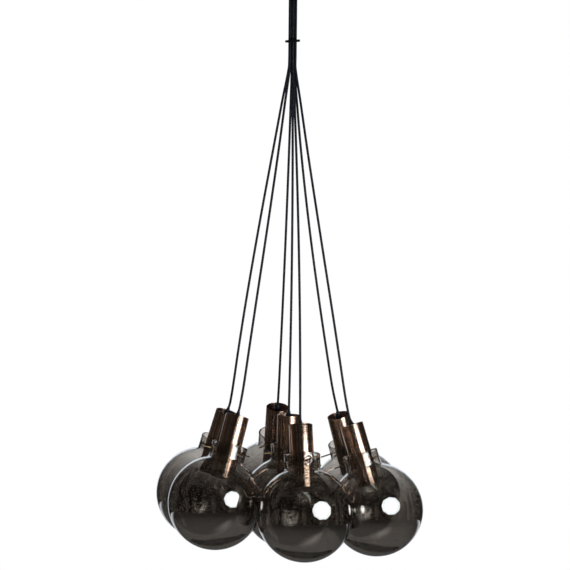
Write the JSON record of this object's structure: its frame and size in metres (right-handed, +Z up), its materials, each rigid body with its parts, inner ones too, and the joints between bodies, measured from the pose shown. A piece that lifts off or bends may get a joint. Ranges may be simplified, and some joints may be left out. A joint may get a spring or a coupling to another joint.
{
  "type": "cluster chandelier",
  "caption": "Cluster chandelier of smoked glass globes on polished copper tubes, each hung on its own black cable from a ceiling canopy, the cables gathered by a disc near the top.",
  "frame": {"origin": "middle of the ceiling bracket's top face, where it meets the ceiling", "axes": "+Z up into the ceiling, -Y towards the front, +X to the right seen from the front"},
  "size_m": [0.578, 0.5946, 1.2499],
  "materials": {
    "smoked_glass": "smoked, lightly mirrored, polished",
    "polished_copper": "mirror-polished copper",
    "brass": "turned, polished",
    "black_rubber": "satin moulded",
    "black_bush": "moulded",
    "black_cable_sheath": "smooth round sheath",
    "white_ceramic": "glazed",
    "opal_glass": "frosted opal",
    "black_paint": "satin black powder coat",
    "zinc_plated_steel": "zinc plated",
    "white_plastic": "moulded"
  },
  "bodies": {
    "ceiling_fitting": {"ceiling_bracket": "zinc_plated_steel", "canopy_cup": "black_paint", "outlet_bush": "black_bush", "terminal_block": "white_plastic", "middle_cable": "black_cable_sheath", "front_cable_upper": "black_cable_sheath", "right_front_cable_upper": "black_cable_sheath", "right_back_cable_upper": "black_cable_sheath", "back_cable_upper": "black_cable_sheath", "left_back_cable_upper": "black_cable_sheath", "left_front_cable_upper": "black_cable_sheath"},
    "gather_disc": {"gather_disc": "black_paint"},
    "front_swing": {"front_cable": "black_cable_sheath"},
    "front_pendant": {"front_cord_grip": "black_rubber", "front_copper_tube": "polished_copper", "front_pin_carrier": "brass", "front_lampholder": "white_ceramic", "front_bulb": "opal_glass", "front_glass_globe": "smoked_glass"},
    "right_front_swing": {"right_front_cable": "black_cable_sheath"},
    "right_front_pendant": {"right_front_cord_grip": "black_rubber", "right_front_copper_tube": "polished_copper", "right_front_pin_carrier": "brass", "right_front_lampholder": "white_ceramic", "right_front_bulb": "opal_glass", "right_front_glass_globe": "smoked_glass"},
    "right_back_swing": {"right_back_cable": "black_cable_sheath"},
    "right_back_pendant": {"right_back_cord_grip": "black_rubber", "right_back_copper_tube": "polished_copper", "right_back_pin_carrier": "brass", "right_back_lampholder": "white_ceramic", "right_back_bulb": "opal_glass", "right_back_glass_globe": "smoked_glass"},
    "back_swing": {"back_cable": "black_cable_sheath"},
    "back_pendant": {"back_cord_grip": "black_rubber", "back_copper_tube": "polished_copper", "back_pin_carrier": "brass", "back_lampholder": "white_ceramic", "back_bulb": "opal_glass", "back_glass_globe": "smoked_glass"},
    "left_back_swing": {"left_back_cable": "black_cable_sheath"},
    "left_back_pendant": {"left_back_cord_grip": "black_rubber", "left_back_copper_tube": "polished_copper", "left_back_pin_carrier": "brass", "left_back_lampholder": "white_ceramic", "left_back_bulb": "opal_glass", "left_back_glass_globe": "smoked_glass"},
    "left_front_swing": {"left_front_cable": "black_cable_sheath"},
    "left_front_pendant": {"left_front_cord_grip": "black_rubber", "left_front_copper_tube": "polished_copper", "left_front_pin_carrier": "brass", "left_front_lampholder": "white_ceramic", "left_front_bulb": "opal_glass", "left_front_glass_globe": "smoked_glass"},
    "middle_pendant": {"middle_cord_grip": "black_rubber", "middle_copper_tube": "polished_copper", "middle_pin_carrier": "brass", "middle_lampholder": "white_ceramic", "middle_bulb": "opal_glass", "middle_glass_globe": "smoked_glass"}
  },
  "joints": [
    {"name": "gather_disc_slide", "type": "slide", "parent": "ceiling_fitting", "child": "gather_disc", "axis": [0, 0, 1], "range_m": [-0.02, 0.025]},
    {"name": "front_swing", "type": "hinge", "parent": "ceiling_fitting", "child": "front_swing", "pos_m": [0.00122, -0.00689, -0.185], "axis": [-0.9848, -0.1736, 0], "range_deg": [0, 15]},
    {"name": "front_twist", "type": "hinge", "parent": "front_swing", "child": "front_pendant", "pos_m": [0.02433, -0.13801, -0.95079], "axis": [-0.0537, 0.3043, 0.9511], "range_deg": [-90, 90]},
    {"name": "right_front_swing", "type": "hinge", "parent": "ceiling_fitting", "child": "right_front_swing", "pos_m": [0.00658, -0.00239, -0.185], "axis": [-0.342, -0.9397, 0], "range_deg": [0, 15]},
    {"name": "right_front_twist", "type": "hinge", "parent": "right_front_swing", "child": "right_front_pendant", "pos_m": [0.1317, -0.04794, -0.95979], "axis": [-0.2904, 0.1057, 0.9511], "range_deg": [-90, 90]},
    {"name": "right_back_swing", "type": "hinge", "parent": "ceiling_fitting", "child": "right_back_swing", "pos_m": [0.00536, 0.0045, -0.185], "axis": [0.6428, -0.766, 0], "range_deg": [0, 15]},
    {"name": "right_back_twist", "type": "hinge", "parent": "right_back_swing", "child": "right_back_pendant", "pos_m": [0.1074, 0.09012, -0.95679], "axis": [-0.2367, -0.1986, 0.9511], "range_deg": [-90, 90]},
    {"name": "back_swing", "type": "hinge", "parent": "ceiling_fitting", "child": "back_swing", "pos_m": [-0.00122, 0.00689, -0.185], "axis": [0.9848, 0.1736, 0], "range_deg": [0, 15]},
    {"name": "back_twist", "type": "hinge", "parent": "back_swing", "child": "back_pendant", "pos_m": [-0.0243, 0.13782, -0.94579], "axis": [0.0537, -0.3043, 0.9511], "range_deg": [-90, 90]},
    {"name": "left_back_swing", "type": "hinge", "parent": "ceiling_fitting", "child": "left_back_swing", "pos_m": [-0.00658, 0.00239, -0.185], "axis": [0.342, 0.9397, 0], "range_deg": [0, 15]},
    {"name": "left_back_twist", "type": "hinge", "parent": "left_back_swing", "child": "left_back_pendant", "pos_m": [-0.13155, 0.04788, -0.94679], "axis": [0.2904, -0.1057, 0.9511], "range_deg": [-90, 90]},
    {"name": "left_front_swing", "type": "hinge", "parent": "ceiling_fitting", "child": "left_front_swing", "pos_m": [-0.00536, -0.0045, -0.185], "axis": [-0.6428, 0.766, 0], "range_deg": [0, 15]},
    {"name": "left_front_twist", "type": "hinge", "parent": "left_front_swing", "child": "left_front_pendant", "pos_m": [-0.10685, -0.08966, -0.93879], "axis": [0.2367, 0.1986, 0.9511], "range_deg": [-90, 90]},
    {"name": "middle_twist", "type": "hinge", "parent": "ceiling_fitting", "child": "middle_pendant", "pos_m": [0, 0, -0.946], "axis": [0, 0, 1], "range_deg": [-90, 90]}
  ]
}
